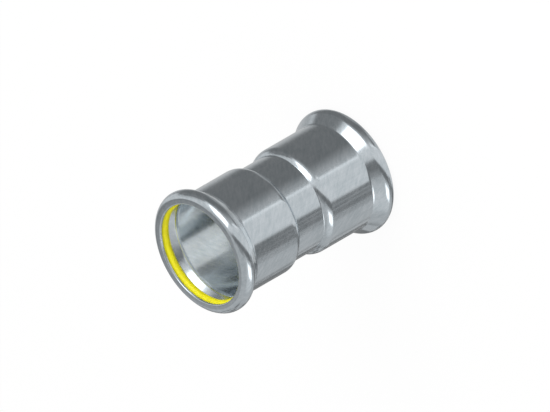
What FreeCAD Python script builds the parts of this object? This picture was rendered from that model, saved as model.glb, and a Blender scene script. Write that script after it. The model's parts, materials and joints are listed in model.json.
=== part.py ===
"""Press fit coupling for a 35 mm pipe: a formed steel tube with a sealing ring in each end.

The part stands on one end face. Its origin is the middle of that face and +Z is its axis.
All lengths are millimetres and all angles are degrees.
"""
import FreeCAD, Part
import math
import os

import Sketcher
from FreeCAD import Vector

# Driving sizes
SIZES = {
    "pipe_od": 35.0,  # outside diameter of the pipe that goes into each end
    "socket_fit": 0.3,  # bore of the sockets over the pipe, on the diameter
    "wall": 1.5,  # thickness of the tube, the same all along its formed shape
    "body_length": 70.0,  # from one end face to the other
    "waist_length": 11.2,  # straight part of the waist, between its two bends
    "pipe_stop": 1.65,  # step from the socket down to the waist, on the radius
    "waist_bend": 0.4,  # inside bend radius where the shoulder leaves the waist
    "shoulder_bend": 2.2,  # inside bend radius where the shoulder meets the socket
    "flare_bend": 1.3,  # inside bend radius where the flare leaves the socket
    "flare_angle": 37.0,  # slope of the flare from the axis
    "seal_section": 3.0,  # thickness of the round sealing ring
    "seal_bore_fit": 0.2,  # bore of the sealing ring over the pipe, on the diameter
    "seal_gap": 0.05,  # clearance between the sealing ring and the bead it sits in
    "end_flat": 0.2,  # how far the crown of the bead is flattened to make the end face
    "mouth_fit": 1.2,  # mouth in the end face over the pipe, on the diameter
    "crown_round": 2.0,  # rounding where the end face runs into the bead
    "rim_round": 0.45,  # rounding where the end face runs into the mouth
    "lip_round": 0.75,  # rounding of the lip's inner edge, where the groove starts
}

# Radii and heights of the wall's section, as formulas of the driving sizes
SOCKET_OUT = "(sizes.pipe_od + sizes.socket_fit) / 2 + sizes.wall"
WAIST_OUT = SOCKET_OUT + " - sizes.pipe_stop"
SEAL_RING = "(sizes.pipe_od + sizes.seal_bore_fit + sizes.seal_section) / 2"
GROOVE = "sizes.seal_section / 2 + sizes.seal_gap"
BEAD = GROOVE + " + sizes.wall"
SEAL_SETBACK = BEAD + " - sizes.end_flat"
MOUTH = "(sizes.pipe_od + sizes.mouth_fit) / 2"


def polar(centre, radius, degrees):
    angle = math.radians(degrees)
    return centre + Vector(radius * math.cos(angle), radius * math.sin(angle), 0)


def line(start, end):
    return Part.LineSegment(start, end)


def arc(centre, radius, first, last):
    circle = Part.Circle(centre, Vector(0, 0, 1), radius)
    return Part.ArcOfCircle(circle, math.radians(first), math.radians(last))


def wall_section(s):
    """Pieces of the upper half of the wall, in order: up the outside, in at the mouth, down the bore.

    Each piece is its name, its shape and whether the walk runs against the shape's own direction.
    The section is drawn here close to its final shape, which the sketch's constraints then set.
    """
    wall, half = s["wall"], s["body_length"] / 2
    socket_out = (s["pipe_od"] + s["socket_fit"]) / 2 + wall
    waist_out = socket_out - s["pipe_stop"]
    groove = s["seal_section"] / 2 + s["seal_gap"]
    bead = groove + wall
    flare = s["flare_angle"]

    # Centres of the waist's bend and the shoulder's bend, whose arcs touch
    shoulder_out = s["shoulder_bend"] + wall
    waist_top = s["waist_length"] / 2
    reach = s["waist_bend"] + shoulder_out
    lean = math.degrees(math.acos((reach - s["pipe_stop"]) / reach))
    waist_centre = Vector(waist_out + s["waist_bend"], waist_top, 0)
    shoulder_centre = polar(waist_centre, reach, 180 - lean)
    socket_foot = shoulder_centre.y

    # Centre of the bead and of the bend under its flare
    bead_centre = Vector(
        (s["pipe_od"] + s["seal_bore_fit"] + s["seal_section"]) / 2,
        half - bead + s["end_flat"],
        0,
    )
    flare_top = polar(bead_centre, bead, -flare)
    crease = flare_top.y - (flare_top.x - socket_out) / math.tan(math.radians(flare))
    socket_top = crease - s["flare_bend"] * math.tan(math.radians(flare / 2))
    flare_centre = Vector(socket_out + s["flare_bend"], socket_top, 0)
    flare_foot = polar(flare_centre, s["flare_bend"], 180 - flare)

    # Mouth, where the bead's wall ends in a lip
    mouth = (s["pipe_od"] + s["mouth_fit"]) / 2
    lip_angle = math.degrees(math.acos((mouth - bead_centre.x) / groove))
    crown_angle = math.degrees(math.asin((half - bead_centre.y) / bead))
    lip_top = Vector(mouth, half, 0)

    def across(point, towards):
        return point + (towards - point).normalize() * wall

    waist_in = Vector(waist_out - wall, 0, 0)
    socket_in = socket_out - wall
    return [
        ("waist_side", line(Vector(waist_out, 0, 0), Vector(waist_out, waist_top, 0)), False),
        ("waist_curve", arc(waist_centre, s["waist_bend"], 180 - lean, 180), True),
        ("shoulder_curve", arc(shoulder_centre, shoulder_out, -lean, 0), False),
        (
            "socket_side",
            line(Vector(socket_out, socket_foot, 0), Vector(socket_out, socket_top, 0)),
            False,
        ),
        ("flare_curve", arc(flare_centre, s["flare_bend"], 180 - flare, 180), True),
        ("flare_side", line(flare_foot, flare_top), False),
        ("bead_curve", arc(bead_centre, bead, -flare, crown_angle), False),
        ("end_face", line(polar(bead_centre, bead, crown_angle), lip_top), False),
        ("lip", line(lip_top, polar(bead_centre, groove, lip_angle)), False),
        ("groove_curve", arc(bead_centre, groove, -flare, lip_angle), True),
        (
            "flare_bore",
            line(across(flare_top, bead_centre), polar(flare_centre, s["flare_bend"] + wall, 180 - flare)),
            False,
        ),
        ("flare_bore_curve", arc(flare_centre, s["flare_bend"] + wall, 180 - flare, 180), False),
        (
            "socket_bore",
            line(Vector(socket_in, socket_top, 0), Vector(socket_in, socket_foot, 0)),
            False,
        ),
        ("shoulder_bore_curve", arc(shoulder_centre, s["shoulder_bend"], -lean, 0), True),
        ("waist_bore_curve", arc(waist_centre, s["waist_bend"] + wall, 180 - lean, 180), False),
        ("waist_bore", line(Vector(waist_in.x, waist_top, 0), waist_in), False),
        ("mid_plane", line(waist_in, Vector(waist_out, 0, 0)), False),
    ]


# Pieces that meet the next one at a corner; all others run on smoothly
CORNERS_AFTER = {"bead_curve", "end_face", "lip", "waist_bore", "mid_plane"}

# Bends of the inner and the outer face that share a centre
SHARED_CENTRES = [
    ("waist_curve", "waist_bore_curve"),
    ("shoulder_curve", "shoulder_bore_curve"),
    ("flare_curve", "flare_bore_curve"),
    ("bead_curve", "groove_curve"),
]

# How a sketch numbers the places of a piece, and the origin among them
WHOLE, START, END, CENTRE = range(4)
ORIGIN = (-1, START)


def draw_section(sketch):
    """Adds the section's pieces, joins each to the next and returns their numbers by name."""
    pieces = wall_section(SIZES)
    number = {name: sketch.addGeometry(shape, False) for name, shape, _ in pieces}
    for piece, following in zip(pieces, pieces[1:] + pieces[:1]):
        leaving = START if piece[2] else END
        entering = END if following[2] else START
        kind = "Coincident" if piece[0] in CORNERS_AFTER else "Tangent"
        sketch.addConstraint(
            Sketcher.Constraint(kind, number[piece[0]], leaving, number[following[0]], entering)
        )
    for outer, inner in SHARED_CENTRES:
        sketch.addConstraint(
            Sketcher.Constraint("Coincident", number[outer], CENTRE, number[inner], CENTRE)
        )
    for name in ("waist_side", "socket_side", "lip", "socket_bore", "waist_bore"):
        sketch.addConstraint(Sketcher.Constraint("Vertical", number[name]))
    for name in ("end_face", "mid_plane"):
        sketch.addConstraint(Sketcher.Constraint("Horizontal", number[name]))
    sketch.addConstraint(Sketcher.Constraint("PointOnObject", number["waist_side"], START, -1))
    return number


def size_section(sketch, number):
    """Names each size of the section and binds it to the sheet."""

    def size(name, formula, kind, *where):
        value = sketch.Geometry[where[0]].Radius if kind == "Radius" else where[-1]
        where = where if kind == "Radius" else where[:-1]
        index = sketch.addConstraint(Sketcher.Constraint(kind, *where, value))
        sketch.renameConstraint(index, name)
        sketch.setExpression("Constraints." + name, formula)

    def radius(name, formula, piece):
        size(name, formula, "Radius", number[piece])

    def from_origin(name, formula, kind, piece, end):
        place = sketch.getPoint(number[piece], end)
        value = place.x if kind == "DistanceX" else place.y
        size(name, formula, kind, *ORIGIN, number[piece], end, value)

    from_origin("socket_radius", SOCKET_OUT, "DistanceX", "socket_side", START)
    from_origin("waist_radius", WAIST_OUT, "DistanceX", "waist_side", START)
    from_origin("waist_half", "sizes.waist_length / 2", "DistanceY", "waist_side", END)
    from_origin("end_height", "sizes.body_length / 2", "DistanceY", "end_face", START)
    from_origin("mouth_radius", MOUTH, "DistanceX", "end_face", END)
    from_origin("seal_ring_radius", SEAL_RING, "DistanceX", "bead_curve", CENTRE)
    from_origin(
        "bead_height", "sizes.body_length / 2 - (" + SEAL_SETBACK + ")", "DistanceY", "bead_curve", CENTRE
    )
    radius("waist_bend", "sizes.waist_bend", "waist_curve")
    radius("shoulder_bend", "sizes.shoulder_bend", "shoulder_bore_curve")
    radius("shoulder_outside", "sizes.shoulder_bend + sizes.wall", "shoulder_curve")
    radius("flare_bend", "sizes.flare_bend", "flare_curve")
    radius("groove_radius", GROOVE, "groove_curve")
    radius("bead_radius", BEAD, "bead_curve")
    slope = math.radians(90 - SIZES["flare_angle"])
    size("flare_slope", "90 deg - sizes.flare_angle * 1 deg", "Angle", number["flare_side"], slope)


def circles_at(shape, radius, height):
    """Names of the shape's full circles of this radius at this distance from the mid-plane."""
    close = 1e-4
    return [
        f"Edge{count}"
        for count, edge in enumerate(shape.Edges, start=1)
        if isinstance(edge.Curve, Part.Circle)
        and abs(edge.Curve.Radius - radius) < close
        and abs(abs(edge.Curve.Center.z) - height) < close
    ]


def rounded(body, base, name, points, size_name):
    """Rounds the circles that these points of the section make, at both ends of the body."""
    fillet = body.newObject("PartDesign::Fillet", name)
    edges = [edge for point in points for edge in circles_at(base.Shape, point.x, point.y)]
    fillet.Base = (base, edges)
    fillet.setExpression("Radius", "sizes." + size_name)
    body.Document.recompute()
    return fillet


def origin_plane(body, role):
    return next(item for item in body.Origin.OriginFeatures if item.Role == role)


def make_body(doc):
    """The tube: its wall's section turned about the axis, mirrored, then rounded at both mouths."""
    body = doc.addObject("PartDesign::Body", "body")
    body.Label = "body"
    sketch = body.newObject("Sketcher::SketchObject", "WallSection")
    sketch.AttachmentSupport = [(origin_plane(body, "XZ_Plane"), "")]
    sketch.MapMode = "FlatFace"
    number = draw_section(sketch)
    size_section(sketch, number)
    doc.recompute()

    half = body.newObject("PartDesign::Revolution", "UpperHalf")
    half.Profile = sketch
    half.ReferenceAxis = (sketch, ["V_Axis"])
    half.Angle = 360
    doc.recompute()

    whole = body.newObject("PartDesign::Mirrored", "BothHalves")
    whole.Originals = [half]
    whole.MirrorPlane = (origin_plane(body, "XY_Plane"), [""])
    body.Tip = whole
    doc.recompute()

    crown = sketch.Geometry[number["end_face"]].StartPoint
    crowns = rounded(body, whole, "CrownRounds", [crown], "crown_round")
    lip = sketch.Geometry[number["lip"]]
    rims = rounded(body, crowns, "RimRounds", [lip.StartPoint], "rim_round")
    body.Tip = rounded(body, rims, "LipRounds", [lip.EndPoint], "lip_round")
    body.setExpression("Placement.Base.z", "sizes.body_length / 2")
    return body


def make_seal_ring(doc, name, height):
    """A round rubber ring that lies loose in the bead."""
    ring = doc.addObject("Part::Torus", name)
    ring.Label = name
    ring.setExpression("Radius1", SEAL_RING)
    ring.setExpression("Radius2", "sizes.seal_section / 2")
    ring.setExpression("Placement.Base.z", height)
    return ring


def make_sheet(doc):
    sheet = doc.addObject("Spreadsheet::Sheet", "sizes")
    for row, (name, value) in enumerate(SIZES.items(), start=1):
        sheet.set(f"A{row}", name.replace("_", " "))
        sheet.set(f"B{row}", str(value))
        sheet.setAlias(f"B{row}", name)
    doc.recompute()


def check(doc, parts):
    for item in doc.Objects:
        if "Invalid" in item.State or "Error" in item.State:
            raise RuntimeError(f"{item.Name} failed: {item.State}")
    for part in parts:
        if part.Shape.isNull() or not part.Shape.isValid():
            raise RuntimeError(f"{part.Label} has no valid shape")


def main():
    doc = FreeCAD.newDocument("press_fit_coupling")
    make_sheet(doc)
    body = make_body(doc)
    lower = make_seal_ring(doc, "lower_seal_ring", SEAL_SETBACK)
    upper = make_seal_ring(doc, "upper_seal_ring", "sizes.body_length - (" + SEAL_SETBACK + ")")
    doc.recompute()

    parts = [body, lower, upper]
    check(doc, parts)
    os.makedirs("parts", exist_ok=True)
    for part in parts:
        part.Shape.exportStep(f"parts/{part.Label}.step")
        box = part.Shape.optimalBoundingBox(False, False)
        print(
            f"{part.Label}: {len(part.Shape.Solids)} solid, {part.Shape.Volume / 1000:.3f} cm3,",
            f"diameter {box.XLength:.2f}, z {box.ZMin:.2f} to {box.ZMax:.2f}",
        )
    print("section fully constrained:", doc.getObject("WallSection").FullyConstrained)


main()
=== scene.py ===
# %% [markdown]
# # A press fit coupling in steel
# This lesson dresses a small pipe fitting: one formed steel tube and two yellow sealing rings.
# Both shapes are round, so each is one outline turned about an axis. The work is in the outline,
# in a metal that shows how it was made, and in a studio that gives bare metal something to mirror.

import json
import math

import bmesh
import bpy
from mathutils import Matrix, Vector


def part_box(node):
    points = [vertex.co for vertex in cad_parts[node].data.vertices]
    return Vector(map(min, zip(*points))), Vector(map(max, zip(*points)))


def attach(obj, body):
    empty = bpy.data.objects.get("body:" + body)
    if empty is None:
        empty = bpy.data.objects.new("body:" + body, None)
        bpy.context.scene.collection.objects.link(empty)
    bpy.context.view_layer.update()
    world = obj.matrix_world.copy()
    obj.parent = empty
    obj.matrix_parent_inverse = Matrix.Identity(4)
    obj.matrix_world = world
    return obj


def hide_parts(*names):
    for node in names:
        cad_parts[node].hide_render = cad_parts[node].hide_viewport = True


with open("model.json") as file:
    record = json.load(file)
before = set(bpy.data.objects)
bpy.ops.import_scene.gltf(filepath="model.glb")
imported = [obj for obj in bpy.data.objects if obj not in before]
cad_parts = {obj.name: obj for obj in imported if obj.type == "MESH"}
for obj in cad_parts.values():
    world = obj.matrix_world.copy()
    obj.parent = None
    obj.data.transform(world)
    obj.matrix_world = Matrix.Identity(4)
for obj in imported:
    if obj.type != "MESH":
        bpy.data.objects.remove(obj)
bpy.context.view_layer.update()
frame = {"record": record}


# %% [markdown]
# ## Sizes
# The fitting takes a pipe at each end, so its sizes start from the pipe's socket. The frame says
# how long the part is and how wide its sockets are bored. The rest are the wall, the bends and the
# bead, in millimetres, because a tool maker thinks in them. Blender works in metres.
# A name that ends in FIT says how much wider than the pipe an opening is, on the radius.

# %% Read the frame's sizes and add the formed tube's own
MM = 0.001
mounts = {mount["name"]: mount for mount in frame["record"]["mounts"]}

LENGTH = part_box("body")[1][2] / MM
MIDDLE = LENGTH / 2
SOCKET_IN = mounts["upper_socket"]["dims"]["r_mm"]
SOCKET_FIT = 0.15
PIPE = SOCKET_IN - SOCKET_FIT
WALL = 1.5
SOCKET_OUT = SOCKET_IN + WALL

PIPE_STOP = 1.65
WAIST_OUT = SOCKET_OUT - PIPE_STOP
WAIST_HALF = 5.6
WAIST_BEND = 0.4
SHOULDER_BEND = 2.2

SEAL_SECTION = 3.0
SEAL_FIT = 0.1
SEAL_GAP = 0.05
SEAL_RADIUS = PIPE + SEAL_FIT + SEAL_SECTION / 2
GROOVE = SEAL_SECTION / 2 + SEAL_GAP
BEAD = GROOVE + WALL
END_FLAT = 0.2
BEAD_HEIGHT = LENGTH - BEAD + END_FLAT
FLARE_ANGLE = 37.0
FLARE_BEND = 1.3

MOUTH_FIT = 0.6
MOUTH = PIPE + MOUTH_FIT
CROWN_ROUND = 2.0
RIM_ROUND = 0.45
LIP_ROUND = 0.75
print(f"length {LENGTH:.2f} mm, radius of the socket's bore {SOCKET_IN:.2f} mm")
print(f"radius over the bead {SEAL_RADIUS + BEAD:.2f} mm")

# %% [markdown]
# ## A pen for outlines
# A turned shape could be typed in as a list of points, but then nobody sees which bend a point
# belongs to. A pen that draws straight runs and arcs says it in a maker's words. Each arc is one
# vertex that the spin operator swings round a centre, so its radius is exact.
# A long run gets a vertex close to each end. Those keep the smooth shading of the next bend from
# spreading along the whole run.

# %% Make the pen
EASE = 0.12


class Pen:
    """Draws an outline in the XZ plane, in millimetres: x is the radius and z the height."""

    def __init__(self, x, z):
        self.mesh = bmesh.new()
        self.tip = self.mesh.verts.new((x * MM, 0, z * MM))

    def step(self, x, z):
        made = bmesh.ops.extrude_vert_indiv(self.mesh, verts=[self.tip])
        self.tip = made["verts"][0]
        self.tip.co = (x * MM, 0, z * MM)

    def line(self, x, z):
        start = self.tip.co / MM
        run = Vector((x, 0, z)) - start
        if run.length > 4 * EASE:
            ease = run.normalized() * EASE
            self.step(start.x + ease.x, start.z + ease.z)
            self.step(x - ease.x, z - ease.z)
        self.step(x, z)

    def arc(self, x, z, degrees, steps):
        """Swings the tip round (x, z); a positive angle turns from +x towards +z."""
        made = bmesh.ops.spin(
            self.mesh,
            geom=[self.tip],
            cent=(x * MM, 0, z * MM),
            axis=(0, -1, 0),
            angle=math.radians(degrees),
            steps=steps,
        )
        self.tip = made["geom_last"][0]


# %% [markdown]
# ## The tube
# The real body is one length of tube. Its ends are widened into sockets, flared, and rolled over
# into beads that hold the sealing rings. The wall stays the same thickness all the way, so every
# bend on the outside has a partner on the inside with the same centre. The outline goes up the
# outside of the upper half, over the bead, in at the mouth and down the bore.

# %% Work out where the bends have their centres
shoulder_out = SHOULDER_BEND + WALL
reach = WAIST_BEND + shoulder_out
lean = math.degrees(math.acos((reach - PIPE_STOP) / reach))
waist_centre = (WAIST_OUT + WAIST_BEND, MIDDLE + WAIST_HALF)
shoulder_centre = (
    SOCKET_OUT - shoulder_out,
    waist_centre[1] + reach * math.sin(math.radians(lean)),
)

flare = math.radians(FLARE_ANGLE)
flare_rise = (SEAL_RADIUS + BEAD * math.cos(flare) - SOCKET_OUT) / math.tan(flare)
crease = BEAD_HEIGHT - BEAD * math.sin(flare) - flare_rise
flare_centre = (SOCKET_OUT + FLARE_BEND, crease - FLARE_BEND * math.tan(flare / 2))
print(f"shoulder ends at {shoulder_centre[1]:.2f} mm, flare starts at {flare_centre[1]:.2f} mm")


# %% [markdown]
# The mouth has three small roundings: crown, rim and lip. Each one touches its two neighbours, and
# that fixes its centre. The rim's lies straight below the end face, the crown's lies inside the
# bead, and the lip's, at the groove's edge, lies outside the groove.

# %% Work out the roundings at the mouth
def touching_height(radius, across):
    """How far along a centre lies when it is this far across and this far away."""
    return math.sqrt(radius**2 - across**2)


crown_height = LENGTH - CROWN_ROUND
crown_across = touching_height(BEAD - CROWN_ROUND, crown_height - BEAD_HEIGHT)
crown_angle = math.degrees(math.atan2(crown_height - BEAD_HEIGHT, crown_across))

lip_across = MOUTH + LIP_ROUND - SEAL_RADIUS
lip_rise = touching_height(GROOVE + LIP_ROUND, lip_across)
lip_angle = math.degrees(math.atan2(lip_rise, lip_across))
print(f"crown rounds off at {crown_angle:.0f} degrees, lip at {lip_angle:.0f} degrees")


# %% [markdown]
# Now the pen draws the wall in one go, up the outside and down the inside. A bend on the inside is
# the same call as its partner on the outside, turned the other way. The arcs of the bead get the
# most steps, because they turn the furthest.

# %% Draw the wall's outline
def draw_wall():
    pen = Pen(WAIST_OUT, MIDDLE)
    pen.line(WAIST_OUT, waist_centre[1])
    pen.arc(*waist_centre, -lean, steps=8)
    pen.arc(*shoulder_centre, lean, steps=14)
    pen.line(SOCKET_OUT, flare_centre[1])
    pen.arc(*flare_centre, -FLARE_ANGLE, steps=8)
    pen.line(
        SEAL_RADIUS + BEAD * math.cos(flare),
        BEAD_HEIGHT - BEAD * math.sin(flare),
    )
    pen.arc(SEAL_RADIUS, BEAD_HEIGHT, FLARE_ANGLE + crown_angle, steps=26)
    pen.arc(SEAL_RADIUS + crown_across, crown_height, 90 - crown_angle, steps=8)
    pen.line(MOUTH + RIM_ROUND, LENGTH)
    pen.arc(MOUTH + RIM_ROUND, LENGTH - RIM_ROUND, 90, steps=10)
    pen.line(MOUTH, BEAD_HEIGHT + lip_rise)
    pen.arc(MOUTH + LIP_ROUND, BEAD_HEIGHT + lip_rise, lip_angle, steps=6)
    pen.arc(SEAL_RADIUS, BEAD_HEIGHT, -FLARE_ANGLE - lip_angle, steps=26)
    pen.line(
        flare_centre[0] - (FLARE_BEND + WALL) * math.cos(flare),
        flare_centre[1] + (FLARE_BEND + WALL) * math.sin(flare),
    )
    pen.arc(*flare_centre, FLARE_ANGLE, steps=8)
    pen.line(SOCKET_IN, shoulder_centre[1])
    pen.arc(*shoulder_centre, -lean, steps=10)
    pen.arc(*waist_centre, lean, steps=10)
    pen.line(WAIST_OUT - WALL, MIDDLE)
    return pen.mesh


wall = draw_wall()
print("outline of the upper half:", len(wall.verts), "vertices")

# %% [markdown]
# ## From outline to tube
# The lower half is the upper one mirrored, so the mirror operator makes it and merges the two at
# the waist. A full spin then closes the tube, and use_merge joins its last step to its first.
# Both can turn a shape inside out, so the normals are worked out again at the end.

# %% Mirror and turn the outline
TURN_STEPS = 360
WELD = MM / 1000


def turn(mesh):
    bmesh.ops.spin(
        mesh,
        geom=list(mesh.verts) + list(mesh.edges),
        cent=(0, 0, 0),
        axis=(0, 0, 1),
        angle=math.tau,
        steps=TURN_STEPS,
        use_merge=True,
    )
    bmesh.ops.remove_doubles(mesh, verts=list(mesh.verts), dist=WELD)
    bmesh.ops.recalc_face_normals(mesh, faces=list(mesh.faces))


def finished(mesh, name, node):
    """Turns a bmesh into a piece that stands for a node and rides on the part."""
    data = bpy.data.meshes.new(name)
    mesh.to_mesh(data)
    mesh.free()
    data.shade_smooth()
    piece = bpy.data.objects.new(name, data)
    bpy.context.scene.collection.objects.link(piece)
    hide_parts(node)
    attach(piece, "root")
    print(name, "has", len(data.polygons), "faces")
    return piece


bmesh.ops.mirror(
    wall,
    geom=list(wall.verts) + list(wall.edges),
    matrix=Matrix.Translation((0, 0, -MIDDLE * MM)),
    merge_dist=WELD,
    axis="Z",
)
turn(wall)
tube = finished(wall, "formed_tube", "body")

# %% [markdown]
# ## The sealing rings
# Each bead holds a ring of round rubber cord, moulded in one piece. A circle is stood up in the
# bead's middle and turned like the tube. The ring lies loose in the bead, with a hair's breadth
# of air round it, which is the thin dark line between rubber and steel.

# %% Turn a circle into each ring
SEAL_POINTS = 40


def make_seal(name, node, height):
    mesh = bmesh.new()
    bmesh.ops.create_circle(mesh, segments=SEAL_POINTS, radius=SEAL_SECTION / 2 * MM)
    bmesh.ops.rotate(mesh, verts=list(mesh.verts), matrix=Matrix.Rotation(math.pi / 2, 3, "X"))
    bmesh.ops.translate(mesh, verts=list(mesh.verts), vec=(SEAL_RADIUS * MM, 0, height * MM))
    turn(mesh)
    return finished(mesh, name, node)


upper_seal = make_seal("upper_rubber_ring", "upper_seal_ring", BEAD_HEIGHT)
lower_seal = make_seal("lower_rubber_ring", "lower_seal_ring", LENGTH - BEAD_HEIGHT)

# %% [markdown]
# ## Shader sums as plain expressions
# A finish is a handful of sums on patterns. Wiring Math nodes by hand hides them, so a small class
# wraps a socket and lets Python's own signs add the nodes. One more class holds the material and
# adds every other kind of node.

# %% Wrap a socket and a material
class Amount:
    """A number that changes over a surface. A sum on it adds a Math node."""

    def __init__(self, finish, socket):
        self.finish = finish
        self.socket = socket

    def __add__(self, other):
        return self.finish.maths("ADD", self, other)

    def __radd__(self, other):
        return self.finish.maths("ADD", other, self)

    def __sub__(self, other):
        return self.finish.maths("SUBTRACT", self, other)

    def __rsub__(self, other):
        return self.finish.maths("SUBTRACT", other, self)

    def __mul__(self, other):
        return self.finish.maths("MULTIPLY", self, other)

    def __rmul__(self, other):
        return self.finish.maths("MULTIPLY", other, self)

    def __neg__(self):
        return self.finish.maths("SUBTRACT", 0, self)

    def __abs__(self):
        return self.finish.maths("ABSOLUTE", self)


class Finish:
    """A material and the method that adds its nodes."""

    def __init__(self, name):
        self.material = bpy.data.materials.new(name)
        self.material.use_nodes = True
        self.tree = self.material.node_tree
        self.shader = self.tree.nodes["Principled BSDF"]
        self.place = self.node("TexCoord").outputs["Object"]

    def plug(self, node, sockets):
        for key, value in sockets.items():
            if isinstance(value, Amount):
                value = value.socket
            if isinstance(value, bpy.types.NodeSocket):
                self.tree.links.new(value, node.inputs[key])
            else:
                node.inputs[key].default_value = value

    def node(self, kind, settings=None, sockets=None):
        made = self.tree.nodes.new("ShaderNode" + kind)
        for name, value in (settings or {}).items():
            setattr(made, name, value)
        self.plug(made, sockets or {})
        return made

    def maths(self, operation, *amounts):
        made = self.node("Math", {"operation": operation}, dict(enumerate(amounts)))
        return Amount(self, made.outputs[0])

    def stepped(self, amount, low, high, kind="LINEAR"):
        """0 where the amount is low, 1 where it is high, and between them in between."""
        made = self.node(
            "MapRange",
            {"interpolation_type": kind},
            {"Value": amount, "From Min": low, "From Max": high},
        )
        return Amount(self, made.outputs["Result"])


# %% [markdown]
# Patterns need a few more helpers: noise with its own scale across and along the axis, a mask that
# tells the outside from the bore, a blend of two colours, and a bump. The wound place is the place
# twisted about the axis, so that a pattern that would run straight along the tube winds round it.

# %% Add the helpers for patterns
NOISE_DETAIL = 2.0


class Pattern(Finish):
    """A finish whose patterns follow the fitting's axis."""

    def wound(self, degrees_per_mm):
        height = Amount(self, self.node("SeparateXYZ", {}, {0: self.place}).outputs[2])
        turned = self.node(
            "VectorRotate",
            {"rotation_type": "Z_AXIS"},
            {"Vector": self.place, "Angle": height * (math.radians(degrees_per_mm) / MM)},
        )
        return turned.outputs[0]

    def noise(self, across, along, roughness=0.5, place=None):
        """Noise with this many waves per millimetre across and along the axis."""
        scale = (across / MM, across / MM, along / MM)
        stretched = self.node("Mapping", {}, {"Vector": place or self.place, "Scale": scale})
        made = self.node(
            "TexNoise",
            {},
            {
                "Vector": stretched.outputs[0],
                "Scale": 1.0,
                "Detail": NOISE_DETAIL,
                "Roughness": roughness,
            },
        )
        return Amount(self, made.outputs["Fac"])

    def outside(self):
        """1 where the surface faces away from the axis, and 0 in the bore."""
        flat = self.node("VectorMath", {"operation": "MULTIPLY"}, {0: self.place, 1: (1, 1, 0)})
        normal = self.node("TexCoord").outputs["Normal"]
        facing = self.node(
            "VectorMath", {"operation": "DOT_PRODUCT"}, {0: flat.outputs[0], 1: normal}
        )
        fade = 2 * MM
        return self.stepped(Amount(self, facing.outputs["Value"]), -fade, fade)

    def blend(self, amount, first, second):
        # A Mix node has sockets for numbers, vectors and colours. Its colours are 6 and 7.
        sockets = {"Factor": amount, 6: first, 7: second}
        return self.node("Mix", {"data_type": "RGBA"}, sockets).outputs[2]

    def bump(self, height, strength, distance):
        sockets = {"Height": height, "Strength": strength, "Distance": distance * MM}
        return self.node("Bump", {}, sockets).outputs["Normal"]


# %% [markdown]
# ## Steel
# The tube was drawn lengthwise, and the formed fitting was brushed while it turned and moved past
# the brush. Drawing leaves faint lines along the axis. Brushing leaves short strokes that wind
# round it at about 45 degrees, and they are what the eye sees first on a bright stretch. Spinning
# leaves fine rings round it, and handling leaves soft cloudy patches. All of them are noise on
# Object coordinates, so they have no seam. They change the colour or the roughness a little, and
# all but the patches also tilt the surface, which frays the edges of the reflections. No brush
# reaches the bore, so it stays duller.

# %% Make the steel
STEEL_LIGHT = (0.627, 0.675, 0.712, 1)
STEEL_DARK = (0.500, 0.557, 0.592, 1)
WINDING = 3.0
POLISH = 0.07
BORE_DULLNESS = 0.05


def make_steel():
    steel = Pattern("formed_stainless_steel")
    strokes = steel.noise(0.80, 0.45, roughness=0.55, place=steel.wound(WINDING))
    drawn = steel.noise(1.3, 0.04, roughness=0.6)
    spun = steel.noise(0.10, 3.0, roughness=0.6)
    clouds = steel.noise(0.15, 0.15)
    tone = steel.stepped(0.5 * strokes + 0.2 * drawn + 0.3 * clouds, low=0.36, high=0.64)
    dulled = BORE_DULLNESS * (1 - steel.outside())
    relief = 0.6 * strokes + 0.25 * drawn + 0.15 * spun
    steel.plug(
        steel.shader,
        {
            "Metallic": 1.0,
            "Base Color": steel.blend(tone, STEEL_DARK, STEEL_LIGHT),
            "Roughness": POLISH + 0.08 * strokes + 0.05 * spun + dulled,
            "Normal": steel.bump(relief, strength=0.25, distance=0.02),
        },
    )
    return steel.material


tube.data.materials.append(make_steel())
print("steel on", tube.name)

# %% [markdown]
# ## Rubber
# The sealing rings are bright yellow rubber with a soft, greased sheen. A very fine grain and a
# slight cloudiness keep the yellow from looking like paint.

# %% Make the rubber
YELLOW_LIGHT = (0.93, 0.87, 0.008, 1)
YELLOW_DEEP = (0.86, 0.78, 0.006, 1)
GREASED = 0.34


def make_rubber():
    rubber = Pattern("yellow_rubber")
    clouds = rubber.noise(0.5, 0.5)
    grain = rubber.noise(12.0, 12.0)
    tone = rubber.stepped(clouds, low=0.3, high=0.7)
    rubber.plug(
        rubber.shader,
        {
            "Base Color": rubber.blend(tone, YELLOW_DEEP, YELLOW_LIGHT),
            "Roughness": GREASED + 0.12 * grain,
            "Normal": rubber.bump(grain, strength=0.15, distance=0.02),
            "Specular IOR Level": 0.25,
        },
    )
    return rubber.material


rubber_material = make_rubber()
for seal in (upper_seal, lower_seal):
    seal.data.materials.append(rubber_material)
print("rubber on", upper_seal.name, "and", lower_seal.name)

# %% [markdown]
# ## The camera
# The photograph is a parallel view: the far bead is as wide as the near one. The camera stands in
# front, 35 degrees above the floor, and is rolled until the fitting's axis lies as in the picture.
# It looks a little past the fitting's middle, by the two AIM numbers, which are in millimetres.

# %% Place the camera
ELEVATION = math.radians(35.264)
ROLL = math.radians(-120)
PICTURE_WIDTH = 0.181
DISTANCE = 0.6
AIM_RIGHT = 0.23
AIM_UP = 1.78

camera_data = bpy.data.cameras.new("camera")
camera_data.type = "ORTHO"
camera_data.ortho_scale = PICTURE_WIDTH
camera = bpy.data.objects.new("camera", camera_data)
bpy.context.scene.collection.objects.link(camera)
bpy.context.scene.camera = camera

turned = Matrix.Rotation(math.pi / 2 - ELEVATION, 4, "X") @ Matrix.Rotation(ROLL, 4, "Z")
centre = Vector((0, 0, MIDDLE * MM))
framing = turned @ Vector((AIM_RIGHT * MM, AIM_UP * MM, DISTANCE))
camera.matrix_world = Matrix.Translation(centre + framing) @ turned
print("camera at", [round(number, 4) for number in camera.matrix_world.translation])

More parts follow.
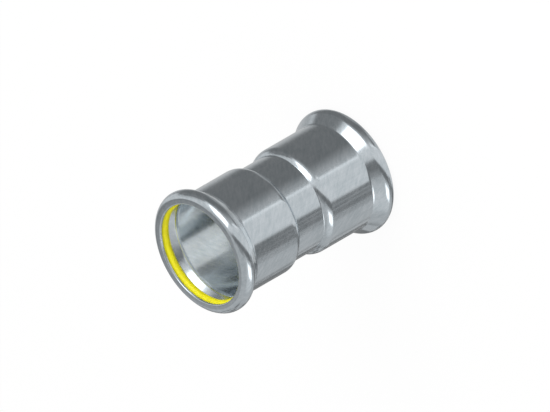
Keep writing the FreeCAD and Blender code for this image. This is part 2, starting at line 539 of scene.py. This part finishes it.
# %% [markdown]
# ## The floor
# The floor is a plain pale sheet. It is nearly white by its own colour, and its Light Path lifts
# it the rest of the way in the picture, while a small share of it still takes the shadow that
# shows where the fitting stands. The steel doesn't mirror this sheet. In its reflections the
# studio's cards stand for the floor, so that each streak has its own light.

# %% Lay the floor
WHITE = (1, 1, 1, 1)
PAPER_WHITE = (0.92, 0.92, 0.92, 1)
FLOOR_LIFT = 0.93
FLOOR_SIZE = 1.5


def staged(mesh, name, material):
    data = bpy.data.meshes.new(name)
    mesh.to_mesh(data)
    mesh.free()
    data.shade_smooth()
    data.materials.append(material)
    made = bpy.data.objects.new(name, data)
    bpy.context.scene.collection.objects.link(made)
    return made


def make_floor():
    paper = Finish("white_paper")
    ray = paper.node("LightPath")
    seen = Amount(paper, ray.outputs["Is Camera Ray"])
    # The lift answers rays from metal and glass too, for a studio that has no cards.
    for kind in ("Is Glossy Ray", "Is Transmission Ray"):
        seen = seen + Amount(paper, ray.outputs[kind])
    matt = paper.node("BsdfDiffuse", {}, {"Color": PAPER_WHITE})
    lift = paper.node("Emission", {}, {"Color": WHITE, "Strength": 1.0})
    mixed = paper.node(
        "MixShader", {}, {0: FLOOR_LIFT * seen, 1: matt.outputs[0], 2: lift.outputs[0]}
    )
    paper.plug(paper.tree.nodes["Material Output"], {"Surface": mixed.outputs[0]})
    mesh = bmesh.new()
    bmesh.ops.create_grid(mesh, x_segments=1, y_segments=1, size=FLOOR_SIZE)
    return staged(mesh, "floor", paper.material)


floor = make_floor()
floor.visible_glossy = False
print("floor laid at z = 0")

# %% [markdown]
# ## The studio
# Bare metal has hardly a colour of its own: it shows what stands round it. So the studio is a
# pale tent with soft-edged cards hung in it, some dark, some bright, and the tube's streaks are
# their reflections. Only reflections see the cards. They are patches of a great ball round the
# fitting, each given by where it hangs: bearing 0 is the front and 90 is +X, and heights are
# degrees above the floor. A card may lean, so that its bearing shifts as it goes up.

# %% Make a card's material
def glow(name, light, bearing, half_width, height, half_height, soft, lean):
    """Plain light that fades out towards the card's edges."""
    card = Finish(name)
    turn_back = (0, 0, -math.radians(bearing))
    facing = card.node("Mapping", {}, {"Vector": card.place, "Rotation": turn_back})
    parts = card.node("SeparateXYZ", {}, {0: facing.outputs[0]})
    x, y, z = (Amount(card, output) for output in parts.outputs)
    level = card.maths("SQRT", x * x + y * y)
    upwards = card.maths("ARCTAN2", z, level) - math.radians(height)
    sideways = card.maths("ARCTAN2", x, -y) - lean * upwards

    def inside(amount, half):
        edge, full = math.radians(half), math.radians(half - soft)
        return card.stepped(abs(amount), edge, full, "SMOOTHSTEP")

    clear = card.node("BsdfTransparent")
    lit = card.node("Emission", {}, {"Color": WHITE, "Strength": light})
    shown = inside(sideways, half_width) * inside(upwards, half_height)
    mixed = card.node("MixShader", {}, {0: shown, 1: clear.outputs[0], 2: lit.outputs[0]})
    card.plug(card.tree.nodes["Material Output"], {"Surface": mixed.outputs[0]})
    return card.material


# %% [markdown]
# The card's mesh is a patch of a ball: one vertex swung upwards gives its edge, and the edge swung
# sideways gives the patch. Each new card hangs a little inside the last one, so it covers it.

# %% Hang a card
TENT_RADIUS = 0.9
CARD_GAP = 0.01
SWING_STEP = 5
tent = []


def only_for_reflections(thing):
    for ray in ("camera", "diffuse", "transmission", "volume_scatter", "shadow"):
        setattr(thing, "visible_" + ray, False)


def swing(mesh, geometry, axis, degrees):
    bmesh.ops.spin(
        mesh,
        geom=geometry,
        cent=(0, 0, 0),
        axis=axis,
        angle=math.radians(degrees),
        steps=max(2, round(degrees / SWING_STEP)),
    )


def hang_card(name, light, bearings, heights, soft, lean=0.0):
    bearing, half_width = sum(bearings) / 2, (bearings[1] - bearings[0]) / 2
    height, half_height = sum(heights) / 2, (heights[1] - heights[0]) / 2
    radius = TENT_RADIUS - CARD_GAP * len(tent)
    lowest = math.radians(heights[0])
    reach = half_width + abs(lean) * half_height

    mesh = bmesh.new()
    start = mesh.verts.new((0, -radius * math.cos(lowest), radius * math.sin(lowest)))
    swing(mesh, [start], (-1, 0, 0), heights[1] - heights[0])
    aside = Matrix.Rotation(math.radians(bearing - reach), 3, "Z")
    bmesh.ops.rotate(mesh, verts=list(mesh.verts), matrix=aside)
    swing(mesh, list(mesh.verts) + list(mesh.edges), (0, 0, 1), 2 * reach)

    material = glow(name, light, bearing, half_width, height, half_height, soft, lean)
    card = staged(mesh, name, material)
    only_for_reflections(card)
    tent.append(card)


# %% [markdown]
# The tent's own cloth is one ball round all of the cards. It shows where no card hangs, and
# through the soft edges of those that do.

# %% Hang the tent
TENT_LIGHT = 0.60


def make_tent():
    """The tent's own cloth: one ball all round, plain and fairly bright."""
    cloth = Finish("tent_cloth")
    lit = cloth.node("Emission", {}, {"Color": WHITE, "Strength": TENT_LIGHT})
    cloth.plug(cloth.tree.nodes["Material Output"], {"Surface": lit.outputs[0]})
    mesh = bmesh.new()
    bmesh.ops.create_icosphere(mesh, subdivisions=3, radius=TENT_RADIUS + CARD_GAP)
    only_for_reflections(staged(mesh, "tent", cloth.material))


make_tent()
print("tent hung at", TENT_RADIUS, "m")

# %% [markdown]
# The dark cards go up first. The wide ones on the right are the tube's long dark side, and two
# paler ones at their foot are the floor there. The others hang behind the fitting and high in
# front of it, round the places of the bright cards.

# %% Hang the dark cards
hang_card("back_flag", 0.24, (-190, -122), (-60, 28), 14)
hang_card("right_flag_edge", 0.23, (10, 130), (-86, 26), 38)
hang_card("right_flag_far", 0.27, (84, 152), (-86, 20), 30)
hang_card("right_flag", 0.23, (50, 136), (-86, 26), 20)
hang_card("right_floor", 0.62, (18, 92), (-92, -64), 6)
hang_card("right_floor_edge", 0.42, (76, 128), (-72, -43), 6)
hang_card("dark_corner", 0.30, (151, 186), (5, 76), 9)
hang_card("top_flag", 0.40, (-34, 8), (46, 80), 10)
print(len(tent), "dark cards hung")

# %% [markdown]
# Then the bright ones: a window on the left, a softbox high on the right and a panel behind. The
# window and the softbox lie on wider and dimmer cards, their halos, so that their streaks fade out
# instead of ending hard. One more halo leads from the softbox to the back panel, and a dark corner
# keeps their light off the long dark side.

# %% Hang the bright cards
hang_card("right_halo", 0.78, (70, 160), (30, 72), 14)
hang_card("back_panel", 0.76, (122, 158), (-8, 50), 10)
hang_card("softbox_halo", 0.86, (-4, 92), (6, 78), 18)
hang_card("window_halo", 0.80, (-110, -42), (-28, 40), 16)
hang_card("window", 2.2, (-82, -52), (-19, 21), 8, lean=0.35)
hang_card("right_corner", 0.27, (71, 122), (-4, 31), 8)
hang_card("softbox", 2.8, (18, 69), (21, 64), 7)
print(len(tent), "cards hung so far")

# %% [markdown]
# The last cards hang in front of all the others. A panel straight ahead, with a bright strip at
# its edge, and the pale floor below it are the tube's broad light side. Dark cards on the left and
# a narrow one beside the panel cut into it, and two slats brighten the lowest of them a little.
# A card leans where its streak has one bearing on the straight tube and another on the bends.

# %% Hang the panels in front
hang_card("upper_flag", 0.36, (-43, -8), (24, 62), 7)
hang_card("low_flag_edge", 0.46, (-94, -60), (-60, -22), 8, lean=0.9)
hang_card("left_belt", 0.24, (-150, -88), (-64, -42), 7)
hang_card("low_flag", 0.28, (-80, -38), (-60, -24), 4, lean=0.9)
hang_card("first_slat", 0.58, (-62, -58), (-58, -30), 1.5, lean=0.9)
hang_card("second_slat", 0.52, (-70, -66), (-58, -30), 1.5, lean=0.9)
hang_card("floor_panel", 0.83, (-192, 10), (-92, -60), 6)
hang_card("panel", 0.82, (-17, 16), (-66, 42), 5)
hang_card("panel_side", 0.82, (-23, 4), (-30, 44), 5, lean=0.3)
hang_card("panel_foot", 0.86, (-54, 2), (-70, -22), 4, lean=0.8)
hang_card("narrow_flag", 0.23, (-40, -12), (-35, 74), 8, lean=0.45)
hang_card("panel_edge", 1.12, (7, 15), (-62, -4), 3, lean=0.15)
hang_card("low_gap", 0.26, (8, 34), (-66, -37), 7)
print(len(tent), "cards in the tent")

# %% [markdown]
# ## Light
# The cards light nothing but reflections, so the yellow rubber needs light of its own. The world
# gives a soft even part of it, and one large lamp on the right gives the rest, so that the ring's
# side nearest to that lamp lies in its own shade. The world still shows plain white to the camera
# and to rays from metal and glass.

# %% Light the stage
WORLD_LIGHT = 0.95

world = bpy.data.worlds.new("studio")
bpy.context.scene.world = world
world.use_nodes = True
bpy.context.scene.view_settings.view_transform = "Standard"


def light_world(tree):
    ray = tree.nodes.new("ShaderNodeLightPath")
    seen = ray.outputs["Is Camera Ray"]
    for kind in ("Is Glossy Ray", "Is Transmission Ray"):
        either = tree.nodes.new("ShaderNodeMath")
        tree.links.new(seen, either.inputs[0])
        tree.links.new(ray.outputs[kind], either.inputs[1])
        seen = either.outputs[0]
    strength = tree.nodes.new("ShaderNodeMapRange")
    tree.links.new(seen, strength.inputs["Value"])
    strength.inputs["To Min"].default_value = WORLD_LIGHT
    sky = tree.nodes["Background"].inputs
    sky["Color"].default_value = WHITE
    tree.links.new(strength.outputs["Result"], sky["Strength"])


light_world(world.node_tree)
print("world gives", WORLD_LIGHT, "and shows white")


# %% [markdown]
# The large lamp lights the rubber and the floor, and the steel doesn't mirror it. The bore sees
# only its own dark walls, so small lamps lie in it, which the camera can't see from any side. The
# wide one lies in front of the near wall, and the far wall mirrors it as one broad band. All the
# lamps are a little warm, where the cards are plain white.

# %% Hang the lamps
WARM = (1.03, 1.0, 0.965)


def hang_lamp(name, light, width, height, place, target):
    """A rectangle that shines as brightly as a card of this light. Its sizes are metres."""
    data = bpy.data.lights.new(name, "AREA")
    data.shape = "RECTANGLE"
    data.size, data.size_y = width, height
    data.energy = light * math.pi * width * height
    data.color = WARM
    lamp = bpy.data.objects.new(name, data)
    bpy.context.scene.collection.objects.link(lamp)
    aim = (Vector(target) - Vector(place)).to_track_quat("-Z", "Y")
    lamp.location = place
    lamp.rotation_euler = aim.to_euler()
    lamp.visible_camera = False
    return lamp


key = hang_lamp(
    "key_lamp",
    light=2.7,
    width=0.4,
    height=0.4,
    place=(0.42, -0.30, 0.42),
    target=(0, 0, 0.04),
)
key.visible_glossy = False
hang_lamp(
    "bore_lamp",
    light=0.68,
    width=0.0238,
    height=0.0245,
    place=(-0.0027, -0.0096, 0.0353),
    target=(-0.0003, 0.0001, 0.0353),
)
print("large lamp hung outside, wide lamp hung in the bore")

# %% [markdown]
# Narrow lamps do the same for the bore's two sides. The +X side mirrors one, and the -X side
# mirrors a dim one and a fainter one beside it.

# %% Hang the narrow lamps in the bore
SIDE_LAMP_HEIGHT = 0.022
SIDE_LAMP_RISE = 0.046
SIDE_LAMP_SETBACK = 0.002
SIDE_LAMP_AIM = 0.01


def hang_side_lamp(name, light, width, back, side):
    """A lamp as far back as this in the bore. It looks to +X for a side of 1, to -X for -1."""
    place = (-SIDE_LAMP_SETBACK * side, back, SIDE_LAMP_RISE)
    target = (SIDE_LAMP_AIM * side, back, SIDE_LAMP_RISE)
    hang_lamp(name, light, width, SIDE_LAMP_HEIGHT, place, target)


hang_side_lamp("bore_right_lamp", 0.36, width=0.0060, back=0.0142, side=1)
hang_side_lamp("bore_left_lamp", 0.18, width=0.0048, back=0.0060, side=-1)
hang_side_lamp("bore_left_fill", 0.05, width=0.0070, back=0.0135, side=-1)
print("three narrow lamps hung in the bore")

# %% [markdown]
# Steel beside steel mirrors itself, and next to a crease that shows as a dark line. A row of small
# lamps close to the steel lights such a place. They shine one way only, so that the steel right
# behind them stays as it was. One row looks out from the socket at the flare above it, and one
# looks across the mouth at the far wall's bend.

# %% Hang two rows of lamps round the axis
LAMP_STEP = 16
FLARE_ROW_GAP = 0.1
FLARE_ROW_FOOT = 52
MOUTH_ROW_INSET = 0.6
MOUTH_ROW_HEIGHTS = (46, 69.4)


def hang_row(name, light, radius, heights, bearings, outwards):
    """Lamps side by side round the axis. The radius and the heights are millimetres."""
    width = 2 * radius * math.tan(math.radians(LAMP_STEP / 2))
    rise = Vector((0, 0, sum(heights) / 2)) * MM
    for bearing in range(bearings[0] + LAMP_STEP // 2, bearings[1], LAMP_STEP):
        turned_by = math.radians(bearing)
        out = Vector((math.sin(turned_by), -math.cos(turned_by), 0)) * MM
        place = rise + radius * out
        target = place + out if outwards else place - out
        length = (heights[1] - heights[0]) * MM
        lamp = hang_lamp(f"{name}_{bearing}", light, width * MM, length, place, target)
        lamp.visible_diffuse = False


hang_row(
    "flare_lamp",
    light=0.30,
    radius=SOCKET_OUT + FLARE_ROW_GAP,
    heights=(FLARE_ROW_FOOT, flare_centre[1]),
    bearings=(-39, 73),
    outwards=True,
)
hang_row(
    "mouth_lamp",
    light=0.34,
    radius=PIPE - MOUTH_ROW_INSET,
    heights=MOUTH_ROW_HEIGHTS,
    bearings=(-104, 104),
    outwards=False,
)
print("two rows of lamps hung")
